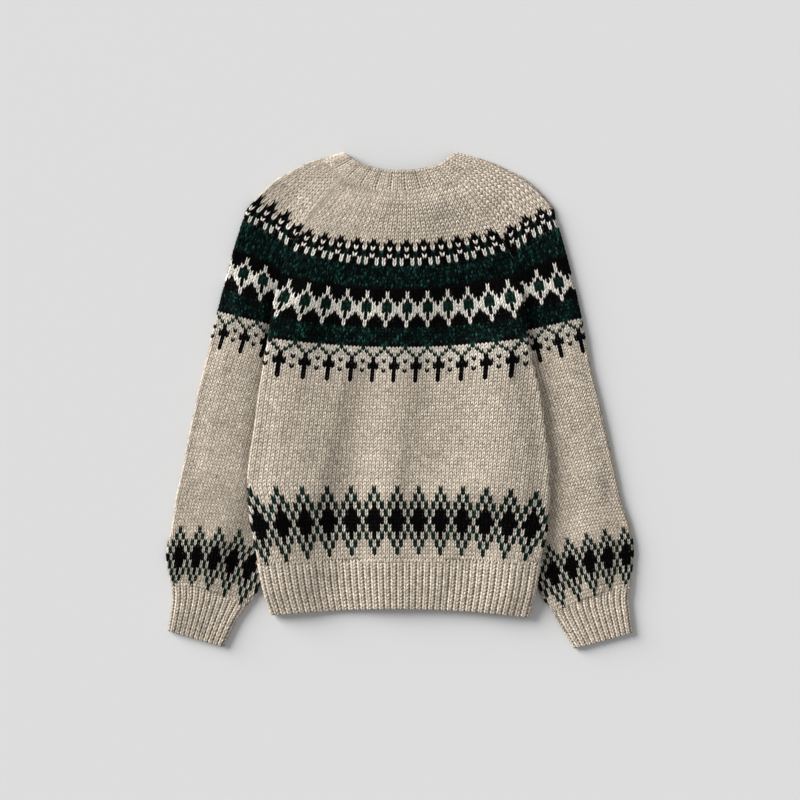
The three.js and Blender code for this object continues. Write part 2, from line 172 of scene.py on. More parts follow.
# Where the repeats lie: level, place of repeat 0, width of a repeat to its left and right, and how much
# further out the columns lean at the panel's left and right edges. The body's are measured from the centre
# back, and a sleeve's from its fold.
BODY_FAN = (
    (HEM_LEVEL, -3.5, 31, 29, -20, -10),
    (RIB_LEVEL, -3.5, 31.9, 29.8, -10, -2),
    (135, -3.5, 32.2, 30, 0, 10),
    (182, -3.5, 32.2, 30, 17, 16.5),
    (351, 7.1, 29.3, 31.3, 20, 25),
    (405, 9, 29.05, 29.67, 8, 5),
    (429, 10.5, 28.3, 28.5, 2, 2),
    (454, 10.8, 27.7, 27.8, -3.5, 0),
    (524, 9.3, 22.6, 23.3, 0, 0),
    (NECK_LEVEL, 9.3, 12.5, 12.5, 0, 0),
)
SLEEVE_FANS = {side: [(level, middle, wide, wide, 0, 0) for level, middle, wide in rows] for side, rows in {
    -1: (
        (-30, -19, 23.6), (SLEEVE_END, -18.7, 24), (25, -4.5, 24.4), (49, -10.5, 27.3), (73, -15, 27.7),
        (351, 2.2, 29.6), (429, -7, 29), (524, 6.9, 23), (NECK_LEVEL, -3, 12.5),
    ),
    1: (
        (-30, -15, 22.6), (SLEEVE_END, -15, 23), (25, -15.4, 26.8), (73, -16, 27), (351, -6.6, 30.9),
        (429, -7.5, 28), (524, -3.6, 24), (NECK_LEVEL, -3, 12.5),
    ),
}.items()}
FAN_EDGE = 6.2  # repeats from the centre to where the lean is full

# The charts, a line for a course, one repeat wide, in the letters of YARN_OF.
ARCHES = ("kooo", "kkok", "nknk", "kkgk", "nkgk")
PAIRS = ("gnkkn", "gnkkn")
YOKE_DIAMONDS = ("kkkkkk", "nkkkkk", "nkkkkk", "knkkkn", "ggnkng", "ggnnng", "ggnnng", "knnknn", "knkkkn",
                 "nkkkkk", "nkkkkk")
CROSSES = ("gppppp", "pgpppg", "ppgpgp", "pppkpp", "kppkpp", "opkkkp", "opkkkp", "kopkpo", "oopkpo",
           "oookoo", "oookoo")
HALF_DIAMOND = ("gooooo", "pgooog", "kpgogp", "kkpgpk", "kkkpkk")
HEM_DIAMONDS = tuple(line for line in HALF_DIAMOND + HALF_DIAMOND[-2::-1] for _ in range(2))


def zone(first, last, stitches, chart=("o",), start=0):
    """Courses first to last, not counting last, with so many stitches in a repeat, the first at start."""
    return {"first": first, "last": last, "stitches": stitches, "chart": chart, "start": start}


YOKE_ZONES = [
    zone(-17, -3, 3),
    zone(-3, 0, 4),
    zone(0, 5, 4, ARCHES),
    zone(5, 7, 5, PAIRS, 0.5),
    zone(7, 13, 6, ("m",)),
    zone(13, 24, 6, YOKE_DIAMONDS),
    zone(24, 29, 6, ("m",)),
    zone(29, 30, 6, ("gmkkkm",)),
    zone(30, 41, 6, CROSSES),
]
DARK_EDGE_TO = 13  # above this course a raglan's edge wale has no pale stitches
BODY_ZONES = YOKE_ZONES + [zone(41, 71, 6), zone(71, 89, 6, HEM_DIAMONDS), zone(89, 92, 6)]
SLEEVE_ZONES = YOKE_ZONES + [zone(41, 93, 6), zone(93, 111, 6, HEM_DIAMONDS), zone(111, 112, 6)]

# The yarns: the colour; how dark the shell is painted beside it, as painted shade in the gaps between its
# stitches; how much a pale one's tone varies from leg to leg and along a leg; how wide a stitch of it is, in
# wales; and how far it stands above the others, mm.
YARN_ROWS = (
    ("o", (0.69, 0.6, 0.49), 0.34, 0.24, 0.5, 1, 0),  # oatmeal
    ("k", (0.0017, 0.0013, 0.0013), 0.6, 0, 0, 1.16, 0.42),  # black
    ("g", (0.005, 0.0215, 0.0155), 0.5, 0, 0, 1.14, 0.38),  # green
    ("m", (0.0046, 0.022, 0.018), 0.35, 0, 0, 1.1, 0.2),  # green twisted with black
    ("n", (0.83, 0.79, 0.71), 0.3, 0.14, 0.26, 1.08, 0.65),  # the yoke patterns' pale natural
    ("p", (0.675, 0.62, 0.535), 0.34, 0.2, 0.42, 1, 0.05),  # the crosses' and hem's greyer natural
)
LETTERS, YARNS, GROUND_PAINTED_SHADE, UNEVEN, GRAIN, FAT, PROUD = (np.array(part) for part in zip(*YARN_ROWS))
YARN_OF = {letter: number for number, letter in enumerate(LETTERS)}
OATMEAL, BLACK, MOTTLED, NATURAL = YARN_OF["o"], YARN_OF["k"], YARN_OF["m"], YARN_OF["n"]
IS_DARK = np.isin(LETTERS, ("k", "g", "m"))

# ---------------- small helpers


def mix(a, b, t):
    return a + (b - a) * t


def ease(a, b, x):
    """0 at a, 1 at b, level at both ends. a may be the larger."""
    t = np.clip((x - a) / (b - a), 0, 1)
    return t * t * (3 - 2 * t)


def smooth(xs, ys, x):
    """A smooth curve through the points (xs, ys), at x, and straight on past its ends."""
    slopes = np.gradient(ys, xs)
    past = x - np.clip(x, xs[0], xs[-1])
    past = past * np.where(past < 0, slopes[0], slopes[-1])
    x = np.clip(x, xs[0], xs[-1])
    i = np.clip(np.searchsorted(xs, x, side="right") - 1, 0, len(xs) - 2)
    h = xs[i + 1] - xs[i]
    t = (x - xs[i]) / h
    return ((1 + 2 * t) * (1 - t) ** 2 * ys[i] + t * (1 - t) ** 2 * h * slopes[i]
            + t * t * (3 - 2 * t) * ys[i + 1] + t * t * (t - 1) * h * slopes[i + 1] + past)


def column(table, name, level):
    return smooth(table["level"], table[name], level)


def piecewise(pairs, x, i=1):
    pairs = sorted(pairs)
    return np.interp(x, [p[0] for p in pairs], [p[i] for p in pairs])


def hashed(*values):
    """A number from 0 to 1 for each set of whole numbers, always the same one."""
    total = sum(value * by for value, by in zip(values, (12.9898, 78.233, 37.719, 93.17)))
    part = np.sin(total) * 43758.5453
    return part - np.floor(part)


# ---------------- soft folds and creases

# Long soft ridges: the crest's two ends, the half widths on its left and right, and its height. The yoke's
# run over the raglan seams.
YOKE_FOLDS = (
    (-62, 615, -122, 500, 56, 150, 5.4),
    (60, 615, 120, 500, 150, 66, 4.6),
    (10, 560, 10, 440, 130, 130, 3),
)
BACK_FOLDS = YOKE_FOLDS + (
    (-81, 335, -125, 176, 76, 36, 8.4),
    (-2, 340, -5, 182, 48, 30, 5.4),
    (115, 345, 112, 180, 94, 80, 11),
    (-120, 172, -126, 30, 56, 40, 3),
    (-14, 160, -10, 20, 40, 30, 1.5),
    (106, 168, 112, 24, 80, 76, 6),
    (-118, 470, -140, 420, 50, 40, 2.6),
)
SLEEVE_FOLDS = {
    -1: YOKE_FOLDS + (
        (-199, 450, -222, 200, 75, 26, 7),
        (-222, 180, -250, 110, 60, 30, 5),
        (-258, 96, -268, 20, 26, 26, 2),
    ),
    1: YOKE_FOLDS + (
        (252, 450, 280, 200, 60, 24, 1.6),
        (262, 180, 276, 100, 40, 50, 2.4),
        (256, 96, 276, 10, 26, 30, 1.6),
    ),
}
CREST_SWAY, CREST_WAVE = 4, 37  # how far a crest sways from straight, and how slowly
CREST_SHARP, CREST_END = 1.6, 38  # how fast it falls away across, and how far it runs on past its ends


def folds(table, x, y):
    """The height that a table of folds adds at points of the plan."""
    total = np.zeros(np.broadcast(x, y).shape)
    for x0, y0, x1, y1, left, right, height in table:
        along = np.hypot(x1 - x0, y1 - y0)
        ux, uy = (x1 - x0) / along, (y1 - y0) / along
        t = (x - x0) * ux + (y - y0) * uy
        off = (y - y0) * ux - (x - x0) * uy + CREST_SWAY * np.sin(t / CREST_WAVE + x0)
        end = np.clip(-t, 0, None) + np.clip(t - along, 0, None)
        beside = (off / np.where(off < 0, left, right)) ** 2 * CREST_SHARP
        total = total + height * np.exp(-beside - (end / CREST_END) ** 2)
    return total


def ripple(x, y):
    """The unevenness of hand-washed knitting, under half a millimetre."""
    return (0.22 * np.sin(x / 13.1 + 1.3 * np.sin(y / 23.7)) * np.sin(y / 17.3 + 0.9 * np.sin(x / 31.1))
            + 0.16 * np.sin(x / 6.7 + y / 19.9) * np.sin(y / 9.1 - x / 41.3))


# ---------------- how high each layer lies

# The body climbs onto the sleeves: the heights, top to bottom, at which the climb begins, is full, is last
# full and is gone, and how far inside the sleeve's tucked edge it begins and is full.
CLIMB_TOP, CLIMB_FULL, CLIMB_LOW, CLIMB_GONE, CLIMB_RUN, CLIMB_SHORT = 476, 430, 42, -15, 120, 4
TUCKED_TO = 460  # the highest level at which a sleeve lies under the body
SEWN_LOW, SEWN_HIGH = 440, 475  # folds cross the raglan seams from the second height up


def tucked_edge(side, y):
    table = SLEEVES[side]
    keep = table["level"] <= TUCKED_TO
    return np.abs(np.interp(y, table["innerY"][keep], table["innerX"][keep]))


def sleeve_climb(x, y):
    edge = np.where(x < 0, tucked_edge(-1, y), tucked_edge(1, y))
    along = ease(CLIMB_TOP, CLIMB_FULL, y) * ease(CLIMB_GONE, CLIMB_LOW, y)
    return SLEEVE_STACK * along * ease(edge - CLIMB_RUN, edge - CLIMB_SHORT, np.abs(x))


OUTER_BAND = HALF + BUTTON_THICK + CLEAR
INNER_BAND = OUTER_BAND + WALL + CLEAR
RAMP_LEFT, RAMP_RIGHT = 60, 45  # where a front begins to rise to its band
RIDGE_RUN, RIDGE_FULL = 120, 16  # where the back begins to rise over the bands, and where it is full
RIDGE_GONE, RIDGE_LOW = 600, 575  # and its heights at the neck
PUFF_RUN, PUFF_FULL, PUFF_GONE, PUFF_LOW = 105, 24, 478, 438  # the same for its puffed sides
CALM_EDGE, CALM_RUN = 1, 38  # folds and ripples die down towards a panel's sides
DEEPEST_BACK, DEEPEST_SLEEVE = -0.8, -0.6  # no fold is lower than this


def front_height(x, y):
    band = np.where(x < 0, INNER_BAND, OUTER_BAND)
    ramp = np.where(x < 0, RAMP_LEFT, RAMP_RIGHT)
    return HALF + (band - HALF) * ease(ramp, BAND_WIDTH / 2, np.abs(x)) + sleeve_climb(x, y)


def back_height(x, y, edge):
    ridge = (INNER_BAND + CLEAR + WALL - HALF - LAYER) * ease(RIDGE_RUN, RIDGE_FULL, np.abs(x))
    puff = SIDE_PUFF * ease(edge - PUFF_RUN, edge - PUFF_FULL, np.abs(x))
    calm = mix(ease(edge - CALM_EDGE, edge - CALM_RUN, np.abs(x)), 1, ease(SEWN_LOW, SEWN_HIGH, y))
    return (HALF + LAYER + ridge * ease(RIDGE_GONE, RIDGE_LOW, y) + sleeve_climb(x, y)
            + puff * ease(PUFF_GONE, PUFF_LOW, y)
            + calm * (np.maximum(folds(BACK_FOLDS, x, y), DEEPEST_BACK) + ripple(x, y)))


# ---------------- forms: a place for each level and distance

BACK_FOLD_FROM, BACK_FOLD_FULL = 432, 400  # the levels where the back's edge begins to fold, and is folded
FOLD_FROM, FOLD_FULL = 405, 376  # and those of the fronts and the sleeves
LEAST_FOLD = 0.01  # a fold's radius where there is none
QUARTER = math.pi / 2


def folded(level, d, edge, edge_y, fold):
    """The share of half a row that a distance is at, its height, and how far from flat the fold takes it."""
    turn = np.clip((d - edge + fold) / fold, 0, QUARTER)
    s = np.where(turn > 0, edge - fold + fold * np.sin(turn), d) / edge
    return s, level + (edge_y - level) * s * s, np.maximum(fold - SEAM, 0) * (1 - np.cos(turn))


class Back:
    """Distance is along the row from the centre, to the right."""
    facing, sewn = 1, (-1, 1)

    def fold(self, level):
        return SIDE_FOLD * ease(BACK_FOLD_FROM, BACK_FOLD_FULL, level) + LEAST_FOLD

    def edges(self, level, side):
        x = np.where(side < 0, -column(BODY, "leftX", level), column(BODY, "rightX", level))
        y = np.where(side < 0, column(BODY, "leftY", level), column(BODY, "rightY", level))
        return x, y

    def reach(self, level, side):
        return self.edges(level, side)[0] + (QUARTER - 1) * self.fold(level)

    def place(self, level, d):
        side = np.where(d < 0, -1, 1)
        edge, edge_y = self.edges(level, side)
        s, y, drop = folded(level, np.abs(d), edge, edge_y, self.fold(level))
        x = side * s * (edge - SEAM)
        return x, y, back_height(x, y, edge) - drop

    def inside(self, level, d, margin):
        return np.abs(d) < self.reach(level, np.sign(d)) - margin


class Front:
    """Distance is along the row from the centre, outwards."""
    sewn, neck_room = (1,), 2

    def __init__(self, side):
        self.side, self.facing = side, -side
        low, high = BODY["level"] < ARMPIT_LEVEL, SLEEVES[side]["level"] >= ARMPIT_LEVEL
        name = "left" if side < 0 else "right"
        self.edge = {"level": np.append(BODY["level"][low], SLEEVES[side]["level"][high]),
                     "x": np.abs(np.append(BODY[name + "X"][low], SLEEVES[side]["innerX"][high])),
                     "y": np.append(BODY[name + "Y"][low], SLEEVES[side]["innerY"][high])}

    def fold(self, level):
        return SIDE_FOLD * ease(FOLD_FROM, FOLD_FULL, level) + LEAST_FOLD

    def reach(self, level, side=1):
        return column(self.edge, "x", level) + (QUARTER - 1) * self.fold(level)

    def neck(self, s):
        return mix(FRONT_NECK_CENTRE, FRONT_NECK_RAGLAN, np.abs(s) ** FRONT_NECK_BEND)

    def place(self, level, d):
        edge = column(self.edge, "x", level)
        s, y, rise = folded(level, d, edge, column(self.edge, "y", level), self.fold(level))
        x = self.side * np.maximum(BAND_EDGE, s * (edge - SEAM))
        return x, y, front_height(x, y) + rise

    def drawn(self, level, s):
        """The level of a shell's row, whose last ones follow the neckline."""
        share = np.clip((level - YOKE_LEVEL) / (FRONT_NECK_RAGLAN - YOKE_LEVEL), 0, 1)
        return np.where(share > 0, mix(YOKE_LEVEL, self.neck(s) - SEAM, share), level)

    def inside(self, level, d, margin):
        top = self.neck(d / column(self.edge, "x", level)) - self.neck_room
        return (d > BAND_EDGE + margin) & (d < self.reach(level) - margin) & (level < top)


CUFF_RISE = 5  # how far a cuff's upper layer stands over its lower one
MOUTH = 12  # the level from which a sleeve takes its cuff's height
INNER_RAMP, OUTER_RAMP = 0.3, 0.95  # shares of the width, from the inner edge
CALM_INNER, CALM_OUTER = 0.22, 0.72


class Sleeve:
    """Distance is along the row from the outer fold: more than 0 on the upper layer, less on the lower."""
    sewn, neck_room = (-1, 1), 0.5

    def __init__(self, side, table, cuff=False):
        self.side, self.facing, self.table, self.cuff = side, -side, table, cuff

    def radii(self, level):
        if self.cuff:
            return CUFF_FOLD, CUFF_FOLD * np.ones_like(level), np.ones_like(level)
        inner = mix(TUCK_FOLD, CUFF_FOLD, ease(MOUTH, SLEEVE_END, level))
        return SLEEVE_FOLD, inner, ease(FOLD_FROM, FOLD_FULL, level)

    def row(self, level):
        return [column(self.table, name, level) for name in SLEEVE_COLUMNS[1:]]

    def reach(self, level, side=1):
        outer_x, outer_y, inner_x, inner_y, _ = self.row(level)
        outer, inner, rolled = self.radii(level)
        width = np.hypot(outer_x - inner_x, outer_y - inner_y)
        return width + (QUARTER - 1) * (outer + inner * rolled)

    def place(self, level, d):
        outer_x, outer_y, inner_x, inner_y, arch = self.row(level)
        outer, inner, rolled = self.radii(level)
        width = np.hypot(outer_x - inner_x, outer_y - inner_y)
        upper, a = np.where(d < 0, -1, 1), np.abs(d)
        turn = np.clip(a / outer, 0, QUARTER)
        off = outer * (1 - np.cos(turn)) + np.maximum(a - outer * QUARTER, 0)
        roll = inner * rolled + LEAST_FOLD
        left = self.reach(level) - a
        bend = np.clip(left / roll, 0, QUARTER)
        off = np.where(bend < QUARTER, width - roll * (1 - np.cos(bend)), off)
        s = 1 - off / width
        x = mix(inner_x + self.side * SEAM, outer_x, s)
        y = mix(inner_y, outer_y, s) + 4 * arch * s * (1 - s)
        middle = HALF + (CUFF_RISE if self.cuff else mix(LAYER, CUFF_RISE, ease(MOUTH, SLEEVE_END, level)))
        top = (middle + (HALF + 2 * inner - middle) * ease(INNER_RAMP, 0, s)
               + (HALF + 2 * outer - middle) * ease(INNER_RAMP, OUTER_RAMP, s))
        calm = mix(ease(0, CALM_INNER, s), 1, ease(SEWN_LOW, SEWN_HIGH, y)) * ease(1, CALM_OUTER, s)
        if not self.cuff:
            fold = np.maximum(folds(SLEEVE_FOLDS[self.side], x, y), DEEPEST_SLEEVE)
            top = top + calm * (fold + ripple(x, y))
        flat = np.where(upper > 0, top, HALF)
        bent = HALF + inner + upper * (SEAM + (inner - SEAM) * np.sin(bend))
        z = np.where(bend < QUARTER, mix(flat, bent, rolled), flat)
        z = np.where(a < outer * QUARTER, HALF + outer + upper * outer * np.sin(turn), z)
        return x, y, z

    def start(self, level, d):
        s = 1 - np.abs(d) / self.reach(level)
        return np.where(d > 0, NECK_LEVEL, mix(FRONT_NECK_RAGLAN, NECK_LEVEL, s))

    def drawn(self, level, d):
        share = (level - YOKE_LEVEL) / (NECK_LEVEL - YOKE_LEVEL)
        return np.where(share < 0, level, mix(YOKE_LEVEL, self.start(level, d) - SEAM, share))

    def inside(self, level, d, margin):
        return (np.abs(d) < self.reach(level) - margin) & (level < self.start(level, d) - self.neck_room)


BACK, FRONTS = Back(), {side: Front(side) for side in (-1, 1)}
SLEEVE = {side: Sleeve(side, SLEEVES[side]) for side in (-1, 1)}
CUFF = {side: Sleeve(side, CUFFS[side], cuff=True) for side in (-1, 1)}


class Collar:
    """Level is the height above the seam, and distance runs along it from the left band to the right."""
    facing = 1
    steps = 60  # points along each stretch of the seam but the back's
    back_run = -74, 75, 90  # its ends, and its points
    smoothings = 5
    front_start = 0.16  # where the bands are, as a share of a front's width
    rise_share = 0.35  # how much of a step's rise counts as distance

    def __init__(self):
        fronts = {}
        for side in (-1, 1):
            form, s = FRONTS[side], np.linspace(self.front_start, 1, self.steps)
            level = form.neck(s)
            fronts[side] = self.points(form.place(level, s * column(form.edge, "x", level)), True)
        runs = [fronts[-1]]
        for side in (-1, 1):
            form, level = SLEEVE[side], np.full(self.steps, NECK_LEVEL)
            d = np.linspace(-1, 1, self.steps) * form.reach(level)
            points = self.points(form.place(form.drawn(level, d), d), d < 0)
            runs.append(points if side < 0 else points[::-1])
            if side < 0:
                x = np.linspace(*self.back_run)
                runs.append(self.points(BACK.place(np.full(len(x), NECK_LEVEL - SEAM), x), False))
        runs.append(fronts[1][::-1])
        line = np.concatenate(runs)
        for _ in range(self.smoothings):
            line[1:-1, :3] = (line[:-2, :3] + 2 * line[1:-1, :3] + line[2:, :3]) / 4
        step = np.diff(line, axis=0)
        lengths = np.linalg.norm(step[:, :2], axis=1) + self.rise_share * np.abs(step[:, 2])
        self.along = np.append(0, np.cumsum(lengths))
        behind = line[:, 3] < 0.5
        self.middle = float(np.interp(0, line[behind, 0], self.along[behind]))
        self.line = line
        start = np.where(line[:, 3] > 0.5, BAND_EDGE, 0)
        share = np.clip((np.abs(line[:, 0]) - start) / (COLLAR_SPAN - start), 0, 1)
        self.lean_x = -np.sign(line[:, 0]) * COLLAR_REACH * share
        self.lean_y = COLLAR_HEIGHT - COLLAR_DROOP * share ** COLLAR_BEND

    @staticmethod
    def points(place, front):
        return np.stack([*place, np.broadcast_to(front, place[0].shape)], axis=-1)

    def at(self, d, values):
        return np.interp(d, self.along, values)

    def place(self, level, d):
        rise = level / COLLAR_HEIGHT
        return (self.at(d, self.line[:, 0]) + rise * self.at(d, self.lean_x),
                self.at(d, self.line[:, 1]) + rise * self.at(d, self.lean_y),
                self.at(d, self.line[:, 2]) + 0 * rise)


class Band:
    """Level runs across the band to the right, and distance along it, from the hem up."""
    facing = 1

    def __init__(self, height):
        self.height = height

    def place(self, level, d):
        return level - BAND_WIDTH / 2 + 0 * d, d + 0 * level, self.height + 0 * (level + d)


COLLAR = Collar()
BANDS = {-1: Band(INNER_BAND), 1: Band(OUTER_BAND)}


class Fan:
    """Where the columns of a panel lie. A repeat coordinate counts repeats from the panel's middle."""
    usual_width, newton_steps = 30, 12

    def __init__(self, rows, side=0):
        self.turned = -1 if side < 0 else 1
        self.levels, *self.parts = np.array(sorted(rows), float).T

    def across(self, level, repeat):
        repeat = repeat * self.turned
        middle, *parts = (np.interp(level, self.levels, part) for part in self.parts)
        pitch, lean = (np.where(repeat < 0, left, right) for left, right in (parts[:2], parts[2:]))
        out = repeat / FAN_EDGE
        return self.turned * (middle + pitch * repeat + lean * out * out ** 2)

    def pitch(self, level, repeat):
        return (self.across(level, repeat + 0.05) - self.across(level, repeat - 0.05)) / 0.1

    def repeat(self, level, d):
        """The repeat coordinate at a distance across, by Newton's method from a usual width."""
        guess = d / self.usual_width
        for _ in range(self.newton_steps):
            guess = guess - (self.across(level, guess) - d) / self.pitch(level, guess)
        return guess


def lifted(form, level, d, lift):
    """Points at a height above a form's middle, on its right side, as rows of x, y, z."""
    level, d, lift = (part.astype(float) for part in np.broadcast_arrays(level, d, lift))
    step = 0.4

    def point(up, across):
        return np.stack(form.place(level + up, d + across), axis=-1)

    out = np.cross(point(0, step) - point(0, -step), point(step, 0) - point(-step, 0)) * form.facing
    out /= np.maximum(np.linalg.norm(out, axis=-1, keepdims=True), 1e-9)
    return point(0, 0) + out * lift[..., None]


# ---------------- meshes


def added(name, data):
    thing = bpy.data.objects.new(name, data)
    scene.collection.objects.link(thing)
    return thing


def build(name, points, faces, colours, material, strand=None, dark=None):
    mesh = bpy.data.meshes.new(name)
    place = (points.reshape(-1, 3) - (MIDDLE_X, MIDDLE_Y, 0)) / 1000
    mesh.from_pydata(place, [], faces)
    mesh.polygons.foreach_set("use_smooth", np.full(len(mesh.polygons), True))
    layer = mesh.color_attributes.new("yarn", "FLOAT_COLOR", "POINT")
    rgba = np.ones((len(place), 4), np.float32)
    rgba[:, :3] = colours.reshape(-1, 3)
    layer.data.foreach_set("color", rgba.ravel())
    if strand is not None:
        layer = mesh.attributes.new("strand", "FLOAT_VECTOR", "POINT")
        layer.data.foreach_set("vector", np.asarray(strand, np.float32).ravel())
    mesh.materials.append(material)
    if dark is not None:
        mesh.materials.append(WOOL_DARK)
        mesh.polygons.foreach_set("material_index", np.asarray(dark, np.int32))
    mesh.update()
    thing = added(name, mesh)
    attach(thing, "root")
    return thing


OUTER_FACE, INNER_FACE = 0.1, -1.45  # the two faces of a shell, from the middle of the CAD wall


def shell(name, form, level, d, tint, outer=OUTER_FACE):
    """A closed sheet over a grid of levels and distances."""
    n = level.size
    k = np.arange(n).reshape(level.shape)
    face = np.stack([k[:-1, :-1], k[:-1, 1:], k[1:, 1:], k[1:, :-1]], -1).reshape(-1, 4)
    back = face[:, [0, 3, 2, 1]] + n
    rim = np.concatenate([k[0, :], k[1:, -1], k[-1, -2::-1], k[-2:0:-1, 0]])
    after = np.roll(rim, -1)
    points = np.concatenate([lifted(form, level, d, lift).reshape(-1, 3) for lift in (outer, INNER_FACE)])
    faces = np.concatenate([face, back, np.stack([rim, rim + n, after + n, after], -1)])
    return build(name, points, faces[:, ::form.facing], np.tile(tint.reshape(-1, 3), (2, 1)), GROUND)


# One leg of a stitch: how far across it lies (in wales), how far down from the top (in courses), its height
# over the shell (mm), how far along and around the yarn it is, and its tone, which is painted light: a
# painted highlight on the raised ridge and painted shade at the sides and the tip.
LEG = np.array([
    (0.14, REACH, -0.35, 0, 0.5, 0.78),
    (-0.02, REACH * 0.8, -0.2, 0.26, 0, 0.74),
    (0.2, REACH * 0.78, 1.25, 0.26, 0.5, 1.1),
    (0.46, REACH * 0.64, -0.2, 0.26, 1, 0.8),
    (0.09, REACH * 0.38, -0.2, 0.68, 0, 0.7),
    (0.36, REACH * 0.34, 1.25, 0.68, 0.5, 1.1),
    (0.62, REACH * 0.2, -0.2, 0.68, 1, 0.8),
    (0.42, -0.08, -0.45, 1, 0.5, 0.6),
])
LEG_FACES = np.array([
    (0, 2, 1), (0, 3, 2), (1, 2, 5), (1, 5, 4), (2, 3, 6), (2, 6, 5), (4, 5, 7), (5, 6, 7),
])
LEAN, TALL = 0.1, 0.1  # how much stitches differ in slant (wales) and in height (courses)
SHIFT, LOFT = 0.03, 0.16  # in place (wales) and in how thick they are
FAT_IS_TALL = 0.6  # how much of a fat yarn's extra width its stitches have in height
WHOLE = 60  # times this, a stitch's place in a repeat is a whole number, but on the edges


def copies(faces, count, size):
    """Faces repeated for so many copies of a set of so many points."""
    return (faces[None] + (np.arange(count) * size)[:, None, None]).reshape(-1, faces.shape[1])


def stitches(name, form, course, centre, across_of, level_of, yarn, raise_by=None, tone_all=1):
    """Stitches at courses and centres (in repeats). across_of(level, centre, dx) is the distance across, and
    level_of(course, centre) the level."""
    course, centre, yarn = course[:, None], centre[:, None], yarn[:, None]

    def chance(*seeds):
        return hashed(course, centre * WHOLE, *seeds)

    jitter = chance(1) - 0.5
    across, down, height, along, around, tone = LEG.T
    dy = down * ((1 + (chance(3) - 0.5) * TALL) * mix(1, FAT[yarn], FAT_IS_TALL))
    level = level_of(course + dy, centre)
    patch = 0.3 + 1.4 * hashed(np.floor(course / 2), np.floor(centre * 3), 9)
    both, shade, strand = [], [], []
    for side in (-1, 1):
        slant = (chance(2) - 0.5) * LEAN * (0.5 - down / REACH)
        dx = side * across * FAT[yarn] + slant + SHIFT * jitter
        lift = OUTER_FACE + height * (1 + LOFT * jitter) + PROUD[yarn]
        if raise_by is not None:
            lift = lift + raise_by(level, centre, dx)
        both.append(lifted(form, level, across_of(level, centre, dx), lift))
        leg, bit = chance(5 + side), chance(5 + side, np.rint(along * 9))
        pale = 1 + (leg - 0.5) * UNEVEN[yarn] + (bit - 0.5) * GRAIN[yarn]
        # Light flecks in a dark yarn: rare ones, in patches, where it is twisted with black.
        mottled = (0.08 + 0.2 * leg + 4.6 * bit ** 8) * patch
        dark = np.where(yarn == MOTTLED, mottled, 0.3 + 0.3 * leg + 2.6 * bit ** 5)
        # Painted light: the tone from LEG lightens each leg's ridge and darkens its sides and tip.
        shade.append(tone_all * np.where(IS_DARK[yarn], dark, pale) * tone)
        strand.append(np.stack([along + chance(4) * 7, side * around + 0 * dy, 0 * dy], -1))
    faces = np.concatenate([LEG_FACES[:, ::-1], LEG_FACES + len(LEG)])[:, ::form.facing]
    tint = YARNS[yarn] * np.concatenate(shade, axis=1)[..., None]
    dark = np.repeat(IS_DARK[yarn], 2 * len(LEG_FACES))
    return build(name, np.concatenate(both, axis=1), copies(faces, len(course), 2 * len(LEG)), tint, WOOL,
                 np.concatenate(strand, axis=1), dark if dark.any() else None)


# ---------------- which yarn


def yarn_at(zones, course, repeat):
    """The yarn's number for each course and repeat coordinate."""
    course, repeat = np.broadcast_arrays(course, repeat)
    out = np.zeros(course.shape, int)
    for z in zones:
        here = (course >= z["first"]) & (course < z["last"])
        table = np.array([[YARN_OF[c] for c in row] for row in z["chart"]])
        place = np.rint((repeat[here] - z["start"]) * z["stitches"]).astype(int)
        line = np.floor(course[here] + 1e-6).astype(int) - z["first"]
        out[here] = table[line % len(table), place % table.shape[1]]
    return out


SAG_BEND = 2.5  # how late, towards a panel's sides, its rows sag


def sagged(form, sag, level, d):
    """How far a row is off its level at a distance across."""
    side = np.where(d < 0, -1, 1)
    pull = np.where(d * getattr(form, "side", 1) < 0, piecewise(sag, level), piecewise(sag, level, 2))
    return pull * np.abs(d / form.reach(level, side)) ** SAG_BEND


EDGE_WALE, EDGE_SLIM = 4.4, 0.86  # the wale along a raglan seam, and how much of it its stitches fill
EDGE_IN, EDGE_ROOM = 0.52, 0.62  # how far in its middle is, and how near others come, in its width
EDGE_MARGIN, FOLD_MARGIN = 0.3, 1.6  # how near a panel's edge stitches may end
REPEATS = 9  # tried on each side of the middle, more than any panel holds
EDGE_TONE, NECK_TONE = 0.97, 0.92
NECK_COURSES = 1.5  # how many courses have the neck's tone
# Painted shade: stitches near a sleeve's outer fold are darkened, toning down the fold's lit rim.
FOLD_PAINTED_SHADE, FOLD_OUT, FOLD_IN = 0.22, 6, 1.5  # how much darker a sleeve's outer fold is, and how near it
# By a raglan seam the shell's painted shade is lighter.
SEAM_PALE, SEAM_OUT, SEAM_IN = 0.7, 9, 5  # how much paler the shell is by a raglan seam, and how near it


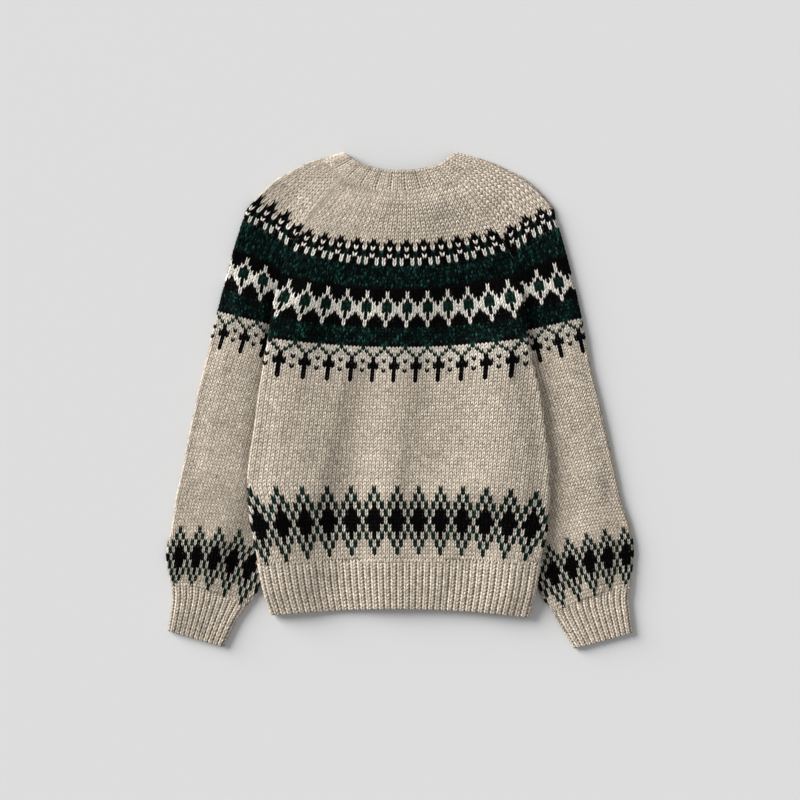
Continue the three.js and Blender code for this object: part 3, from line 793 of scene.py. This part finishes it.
def knitted(name, form, zones, courses, fan, sag, lowest):
    """All the stitches of a panel. The wales along its sewn edges have an edge of -1 or 1, the others 0."""
    rows, heights = zip(*courses)

    def level_of(course, centre):
        level = np.interp(course, rows, heights)
        return level + sagged(form, sag, level, fan.across(level, centre))

    def across_of(level, centre, dx):
        end = edge[:, None]
        along_edge = end * (form.reach(level, end) - EDGE_IN * EDGE_WALE) + EDGE_SLIM * dx * EDGE_WALE
        return np.where(end == 0, fan.across(level, centre) + dx * width[:, None], along_edge)

    found = []
    for z in zones:
        far = REPEATS * z["stitches"]
        at = z["start"] + np.arange(-far, far + 1) / z["stitches"]
        for c in range(max(z["first"], rows[0]), z["last"]):
            level = float(np.interp(c + REACH / 2, rows, heights))
            ends = form.sewn if level > ARMPIT_LEVEL else ()
            reached = [end * (float(form.reach(np.array(level), end)) - EDGE_IN * EDGE_WALE) for end in ends]
            repeat = np.append(at, fan.repeat(level, np.array(reached)))
            edge = np.append(np.zeros(len(at)), ends)
            found.append(np.stack(np.broadcast_arrays(float(c), repeat, z["stitches"], edge)))
    course, repeat, count, edge = np.concatenate(found, axis=1)
    middle = level_of(course + REACH / 2, repeat)
    d = fan.across(middle, repeat)
    room = np.where(middle > ARMPIT_LEVEL, EDGE_ROOM * EDGE_WALE, FOLD_MARGIN)
    keep = form.inside(middle, d, np.where(edge == 0, room, EDGE_MARGIN)) & (middle > lowest)
    course, repeat, edge = course[keep], repeat[keep], edge[keep]
    width = np.abs(fan.pitch(middle[keep], repeat)) / count[keep]
    yarn = yarn_at(zones, course, repeat)
    yarn = np.where((edge != 0) & (yarn == NATURAL) & (course < DARK_EDGE_TO), BLACK, yarn)
    tone = np.where(edge != 0, EDGE_TONE, np.where(course < rows[0] + NECK_COURSES, NECK_TONE, 1))
    if isinstance(form, Sleeve):
        # Painted shade towards the sleeve's outer fold.
        tone = tone * (1 - FOLD_PAINTED_SHADE * ease(FOLD_OUT, FOLD_IN, np.abs(d[keep])))
    return stitches(name, form, course, repeat, across_of, level_of, yarn, tone_all=tone[:, None])


def tint_at(form, zones, courses, fan, sag, level, d):
    """The shell's colour under the stitches, darker than they are: painted shade in the gaps between them,
    with less of it by a raglan seam.
    """
    course = piecewise([(height, row) for row, height in courses], level - sagged(form, sag, level, d))
    yarn = yarn_at(zones, course - REACH / 2, fan.repeat(level, d))
    seam = ease(SEAM_OUT, SEAM_IN, form.reach(level, np.sign(d)) - np.abs(d)) * (level > ARMPIT_LEVEL)
    return YARNS[yarn] * (GROUND_PAINTED_SHADE[yarn] * (1 + SEAM_PALE * seam))[..., None]


# ---------------- materials


def put(socket, value):
    """Gives an input a value, or links it to another node's output."""
    if isinstance(value, bpy.types.NodeSocket):
        socket.id_data.links.new(value, socket)
    else:
        socket.default_value = value


def material(name, inputs):
    made = bpy.data.materials.new(name)
    made.use_nodes = True
    shader = made.node_tree.nodes["Principled BSDF"]
    for key, value in inputs.items():
        put(shader.inputs[key], value)
    return made, made.node_tree, shader


def node(tree, kind, **inputs):
    made = tree.nodes.new(kind)
    for key, value in inputs.items():
        if key in made.inputs:
            put(made.inputs[key], value)
        else:
            setattr(made, key, value)
    return made


def noise(tree, vector, scale, detail, rough):
    made = node(tree, "ShaderNodeTexNoise", Vector=vector, Scale=scale, Detail=detail, Roughness=rough)
    return made.outputs["Fac"]


def ramped(tree, value, *ends):
    made = node(tree, "ShaderNodeMapRange", Value=value)
    for key, end in zip(("From Min", "From Max", "To Min", "To Max"), ends):
        put(made.inputs[key], end)
    return made.outputs["Result"]


def maths(tree, operation, a, b):
    made = node(tree, "ShaderNodeMath", operation=operation)
    put(made.inputs[0], a)
    put(made.inputs[1], b)
    return made.outputs["Value"]


def bumped(tree, shader, height, strength, distance):
    bump = node(tree, "ShaderNodeBump", Height=height, Strength=strength, Distance=distance)
    put(shader.inputs["Normal"], bump.outputs["Normal"])


def wool(name, strand_bump, sheen, pale_share, rough, shine=0.12):
    """Woollen yarn: the stitch's own colour, broken up by fibres, with dark flecks and pale hairs in it."""
    made, tree, shader = material(name, {
        "Roughness": 0.92, "Specular IOR Level": shine, "Sheen Weight": sheen, "Sheen Roughness": 0.5,
        "Sheen Tint": (0.95, 0.92, 0.86, 1)})
    place = node(tree, "ShaderNodeTexCoord").outputs["Object"]
    yarn = node(tree, "ShaderNodeAttribute", attribute_name="yarn").outputs["Color"]
    fibres = ramped(tree, noise(tree, place, 620, 4, 0.75), 0.3, 0.7, 1 - rough, 1 + 0.9 * rough)
    cloud = ramped(tree, noise(tree, place, 46, 3, 0.6), 0.3, 0.7, 0.94, 1.06)
    fleck = ramped(tree, noise(tree, place, 330, 2, 0.5), 0.57, 0.7, 1, 0.55)
    bright = maths(tree, "MULTIPLY", maths(tree, "MULTIPLY", fibres, cloud), fleck)
    scaled = node(tree, "ShaderNodeVectorMath", operation="SCALE", Scale=bright)
    put(scaled.inputs[0], yarn)
    hair = ramped(tree, noise(tree, place, 520, 2, 0.5), 0.63, 0.74, 0, 1)
    pale = node(tree, "ShaderNodeMix", data_type="RGBA")
    put(pale.inputs[0], maths(tree, "MULTIPLY", hair, pale_share))
    put(pale.inputs[6], scaled.outputs[0])
    put(pale.inputs[7], (0.6, 0.53, 0.45, 1))
    put(shader.inputs["Base Color"], pale.outputs[2])
    height = noise(tree, place, 1500, 5, 0.75)
    if strand_bump:
        strand = node(tree, "ShaderNodeAttribute", attribute_name="strand").outputs["Vector"]
        ply = node(tree, "ShaderNodeTexWave", wave_type="BANDS", bands_direction="DIAGONAL", Vector=strand,
                   Scale=1.5, Distortion=0.6)
        height = maths(tree, "ADD", height, maths(tree, "MULTIPLY", ply.outputs["Fac"], 0.35))
    bumped(tree, shader, height, 0.6, 0.0006)
    return made


def horn():
    made, tree, shader = material("horn", {"Roughness": 0.32})
    place = node(tree, "ShaderNodeTexCoord").outputs["Object"]
    grain = node(tree, "ShaderNodeValToRGB", Fac=noise(tree, place, 130, 4, 0.6))
    grain.color_ramp.elements[0].color = (0.016, 0.009, 0.005, 1)
    grain.color_ramp.elements[1].color = (0.12, 0.066, 0.034, 1)
    put(shader.inputs["Base Color"], grain.outputs["Color"])
    bumped(tree, shader, noise(tree, place, 420, 3, 0.5), 0.12, 0.0004)
    return made


WOOL = wool("wool", True, 0.09, 0.1, 0.46)
WOOL_DARK = wool("wool_dark", True, 0.01, 0.03, 0.75, 0.05)
GROUND, HORN = wool("wool_ground", False, 0.05, 0.02, 0.42), horn()

# ---------------- body and sleeves

GRID = 4.9  # the spacing of a shell's grid
OUTER_CLOSER = 0.35  # how much closer a sleeve's columns are at the outer fold
FOLD_STEPS, FOLD_SPREAD = 6, 1.6  # how many closer columns go round a fold, over how many radii
BODY_HALF, SLEEVE_WIDE, SLEEVE_TURN = 205, 110, 4  # usual widths and a sleeve's fold, to count columns by


def grid(levels, spans):
    """A grid of levels by fractions of the row."""
    return np.broadcast_arrays(levels[:, None], spans[None, :])


def fractions(width, fold, both=True):
    """Fractions of a row from -1 or 0 to 1, closer round its folded ends."""
    inner = np.linspace(0, 1 - FOLD_SPREAD * fold / width, int(width / GRID))
    half = np.append(inner, np.linspace(inner[-1], 1, FOLD_STEPS + 1)[1:])
    return np.concatenate([-half[:0:-1], half]) if both else half


def spread(low, high):
    return np.linspace(low, high, int((high - low) / GRID) + 1)


def back_grid(low, high):
    level, u = grid(spread(low, high), fractions(BODY_HALF, SIDE_FOLD))
    return level, u * BACK.reach(level, np.where(u < 0, -1, 1))


def front_grid(side, low, high):
    form = FRONTS[side]
    level, u = grid(spread(low, high), fractions(BODY_HALF, SIDE_FOLD, both=False))
    start = BAND_EDGE / column(form.edge, "x", np.minimum(level, YOKE_LEVEL))
    level = form.drawn(level, start + u * (1 - start))
    return level, BAND_EDGE + u * (form.reach(level) - BAND_EDGE)


def sleeve_grid(form, low, high):
    level, u = grid(spread(low, high), fractions(SLEEVE_WIDE, SLEEVE_TURN))
    ends = 0.5 - 0.5 * np.cos(math.pi * np.abs(u))
    u = np.sign(u) * mix(np.abs(u), ends, OUTER_CLOSER)
    level = form.drawn(level, u * form.reach(level))
    return level, u * form.reach(level)


def panel(name, form, mesh_grid, zones, courses, fan, sag, lowest):
    level, d = mesh_grid
    sheet = shell(name + "_sheet", form, level, d, tint_at(form, zones, courses, fan, sag, level, d))
    sewn = knitted(name + "_stitches", form, zones, courses, fan, sag, lowest)
    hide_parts(name)


panel("back", BACK, back_grid(RIB_LEVEL + SEAM, NECK_LEVEL - SEAM), BODY_ZONES, BODY_COURSES, Fan(BODY_FAN),
      BODY_SAG, RIB_LEVEL + 1)
for side, name in ((-1, "left"), (1, "right")):
    panel(name + "_front", FRONTS[side], front_grid(side, RIB_LEVEL + SEAM, FRONT_NECK_RAGLAN), BODY_ZONES,
          BODY_COURSES, Fan(BODY_FAN, side), BODY_SAG, RIB_LEVEL + 1)
    panel(name + "_sleeve", SLEEVE[side], sleeve_grid(SLEEVE[side], SLEEVE_END + SEAM, NECK_LEVEL),
          SLEEVE_ZONES, SLEEVE_COURSES[side], Fan(SLEEVE_FANS[side]), STRAIGHT, SLEEVE_END + 1)

# ---------------- ribs, collar and button bands

RIB_DEPTH = 0.9  # half the height of the wave of knit and purl columns
RIB_DEPTH_SEWN = 0.3  # how much of it is left at the seam
RIB_RISE, RIB_FALL = 0.55, 2  # the wave's highest place and its whole height, as shares of that
RIB_COURSE, RIB_ROW = 4.75, 4  # the heights of a course and of a row of the shell's grid
RIB_STEPS = 10  # columns of the shell's grid in one knit and one purl column
KNIT_SHARE, KNIT_SHARE_WIDE = 0.8, 0.9  # how much of a rib its knit wales cover: one wale, several
OVER_SEAM, OVER_FREE = 4, 0.1  # how far its stitches reach over the seam, and stay off the free edge

# One purl bump: across (in its widths), down (in courses), height (mm).
BUMP = np.array([
    (-0.46, 0.05, -0.25), (0.46, 0.05, -0.25), (0, -0.34, -0.2), (0, 0.4, -0.2), (0, 0.02, 0.55),
])
BUMP_FACES = np.array([(0, 4, 2), (2, 4, 1), (1, 4, 3), (3, 4, 0)])
BUMP_WIDTH = 0.4  # in ribs, of one wale


def ribbed(name, form, low, high, first, last, across, seam=1, depth=RIB_DEPTH, wales=1,
           sharp=2.4, tone=0.94, purl_painted_shade=0.62):
    """A rib from level low to high: a corrugated shell, with so many wales of stitches on its knit columns
    and bumps in its purl ones. across(level, rib) is where a rib lies; knit columns are at whole numbers. It
    is sewn on at its high edge, or if seam is -1 its low one."""
    share = KNIT_SHARE if wales == 1 else KNIT_SHARE_WIDE / wales

    def rib_height(rib, depth):
        wave = 0.5 - 0.5 * np.cos(2 * math.pi * rib)
        return depth * (RIB_RISE - RIB_FALL * wave ** sharp)

    def depth_at(level):
        sewn, free = (high, low) if seam > 0 else (low, high)
        return depth * mix(RIB_DEPTH_SEWN, 1, ease(sewn, mix(sewn, free, 0.25), level))

    rows = max(4, int((high - low) / RIB_ROW) + 1)
    ribs = np.arange(first * RIB_STEPS, last * RIB_STEPS + 1) / RIB_STEPS
    level, rib = grid(np.linspace(low, high, rows), ribs)
    knit_here = ease(-1, 0.6, np.cos(2 * math.pi * rib))
    # Painted shade: tone darkens a whole rib (0.94; the collar's 1.02 is lighter), and the shell under the
    # stitches is darker than they are, darkest in the purl valleys.
    wool_tint = YARNS[OATMEAL] * tone
    sheet = shell(name + "_sheet", form, level, across(level, rib),
                  wool_tint * mix(purl_painted_shade / 2, 0.55, knit_here)[..., None],
                  OUTER_FACE - 0.2 + rib_height(rib, depth_at(level)))
    top = high + OVER_SEAM * (seam > 0)
    bottom = low + OVER_FREE if seam > 0 else low - OVER_SEAM
    count = max(3, int(round((top - bottom) / RIB_COURSE)))
    pitch = (top - bottom) / count

    def level_of(course, centre=0):
        return np.maximum(top - course * pitch, bottom) + 0 * centre

    def knit_across(level, centre, dx):
        return across(level, np.clip(centre + share * dx, first, last))

    def knit_lift(level, centre, dx):
        return rib_height(centre + share * dx, depth_at(level))

    knit_ribs = np.arange(math.ceil(first), math.floor(last) + 1)[:, None]
    knit_wales = (knit_ribs + share * (np.arange(wales) - wales / 2 + 0.5)).ravel()
    course, centre = (part.ravel() for part in grid(np.arange(count), knit_wales))
    yarn = np.full(len(course), OATMEAL)
    knit = stitches(name + "_stitches", form, course, centre, knit_across, level_of, yarn, knit_lift, tone)

    purl_ribs = np.arange(math.ceil(first - 0.5), math.floor(last - 0.5) + 1) + 0.5
    course, centre = (part.reshape(-1, 1) for part in grid(np.arange(count) + 0.5, purl_ribs))
    at = level_of(course + BUMP[:, 1])
    lift = OUTER_FACE - 0.1 + rib_height(0.5, depth_at(at)) + BUMP[:, 2]
    points = lifted(form, at, across(at, centre + BUMP_WIDTH / wales * BUMP[:, 0]), lift)
    faces = copies(BUMP_FACES[:, ::form.facing], len(course), len(BUMP))
    # Painted shade: the purl bumps are darker than the knit stitches.
    purl = build(name + "_purl", points, faces, np.broadcast_to(wool_tint * purl_painted_shade, points.shape), WOOL,
                 np.zeros(points.shape))
    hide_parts(name)


# How many ribs half the back, a front and half a cuff have, and how wide the collar's and the bands' are.
BACK_RIBS, FRONT_RIBS, CUFF_RIBS, COLLAR_RIB, BAND_RIB = 21.25, 19.5, 12, 21.3, 10.4
COLLAR_SHIFT = 2.9  # how far left of the collar's middle a knit column is

ribbed("back_hem_rib", BACK, HEM_LEVEL, RIB_LEVEL - SEAM, -BACK_RIBS, BACK_RIBS,
       lambda level, rib: rib / BACK_RIBS * BACK.reach(level, np.where(rib < 0, -1, 1)))
for side, name in ((-1, "left"), (1, "right")):
    ribbed(name + "_front_hem_rib", FRONTS[side], HEM_LEVEL, RIB_LEVEL - SEAM, 0, FRONT_RIBS,
           lambda level, rib, form=FRONTS[side]: mix(BAND_EDGE, form.reach(level), rib / FRONT_RIBS))
    ribbed(name + "_cuff", CUFF[side], CUFF_END, SLEEVE_END - SEAM, -CUFF_RIBS, CUFF_RIBS,
           lambda level, rib, form=CUFF[side]: rib / CUFF_RIBS * form.reach(level))
    ribbed(name + "_button_band", BANDS[side], CLEAR, BAND_WIDTH - CLEAR, HEM_LEVEL / BAND_RIB,
           BAND_TOP / BAND_RIB, lambda level, rib: rib * BAND_RIB)
ribbed("collar", COLLAR, 0.9, COLLAR_HEIGHT, (SEAM - COLLAR.middle) / COLLAR_RIB,
       (COLLAR.along[-1] - COLLAR.middle - SEAM) / COLLAR_RIB,
       lambda level, rib: COLLAR.middle - COLLAR_SHIFT + rib * COLLAR_RIB,
       seam=-1, depth=0.28, wales=3, sharp=5, tone=1.02, purl_painted_shade=0.76)

# ---------------- what is left of the frame

for cad_name, cad_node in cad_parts.items():
    if cad_name.startswith("button_"):
        cad_node.data.materials.clear()
        cad_node.data.materials.append(HORN)

# ---------------- floor, light and camera

CAMERA_HEIGHT, PICTURE_WIDTH, SENSOR = 4, 1.12, 36
FLOOR_SIZE, FLOOR_DROP = 12, 0.0004  # it lies a little low, for the yarn that stands out below
GREY = (0.614, 0.614, 0.614, 1)

bpy.ops.mesh.primitive_plane_add(size=FLOOR_SIZE, location=(0, 0, -FLOOR_DROP))
floor = bpy.context.object
floor.name = "floor"
floor.data.materials.append(material("paper", {"Roughness": 0.95, "Base Color": GREY})[0])


def sun(name, from_place, softness, power):
    data = bpy.data.lights.new(name, "SUN")
    data.angle, data.energy = math.radians(softness), power
    light = added(name, data)
    light.rotation_mode = "QUATERNION"
    light.rotation_quaternion = (-Vector(from_place)).to_track_quat("-Z", "Y")
    light.location = from_place


sun("key", (-1.9, 1.15, 0.9), 40, 6.3)
sun("fill", (1.9, -1.15, 0.9), 100, 0.8)

world = bpy.data.worlds.new("room")
world.use_nodes = True
background = world.node_tree.nodes["Background"]
background.inputs["Color"].default_value = (1, 1, 1, 1)
background.inputs["Strength"].default_value = 0.3
scene.world = world
scene.view_settings.view_transform = "Standard"

camera_data = bpy.data.cameras.new("camera")
camera_data.sensor_width = SENSOR
camera_data.lens = SENSOR * CAMERA_HEIGHT / PICTURE_WIDTH
camera = added("camera", camera_data)
camera.location = (0, 0, CAMERA_HEIGHT)
scene.camera = camera
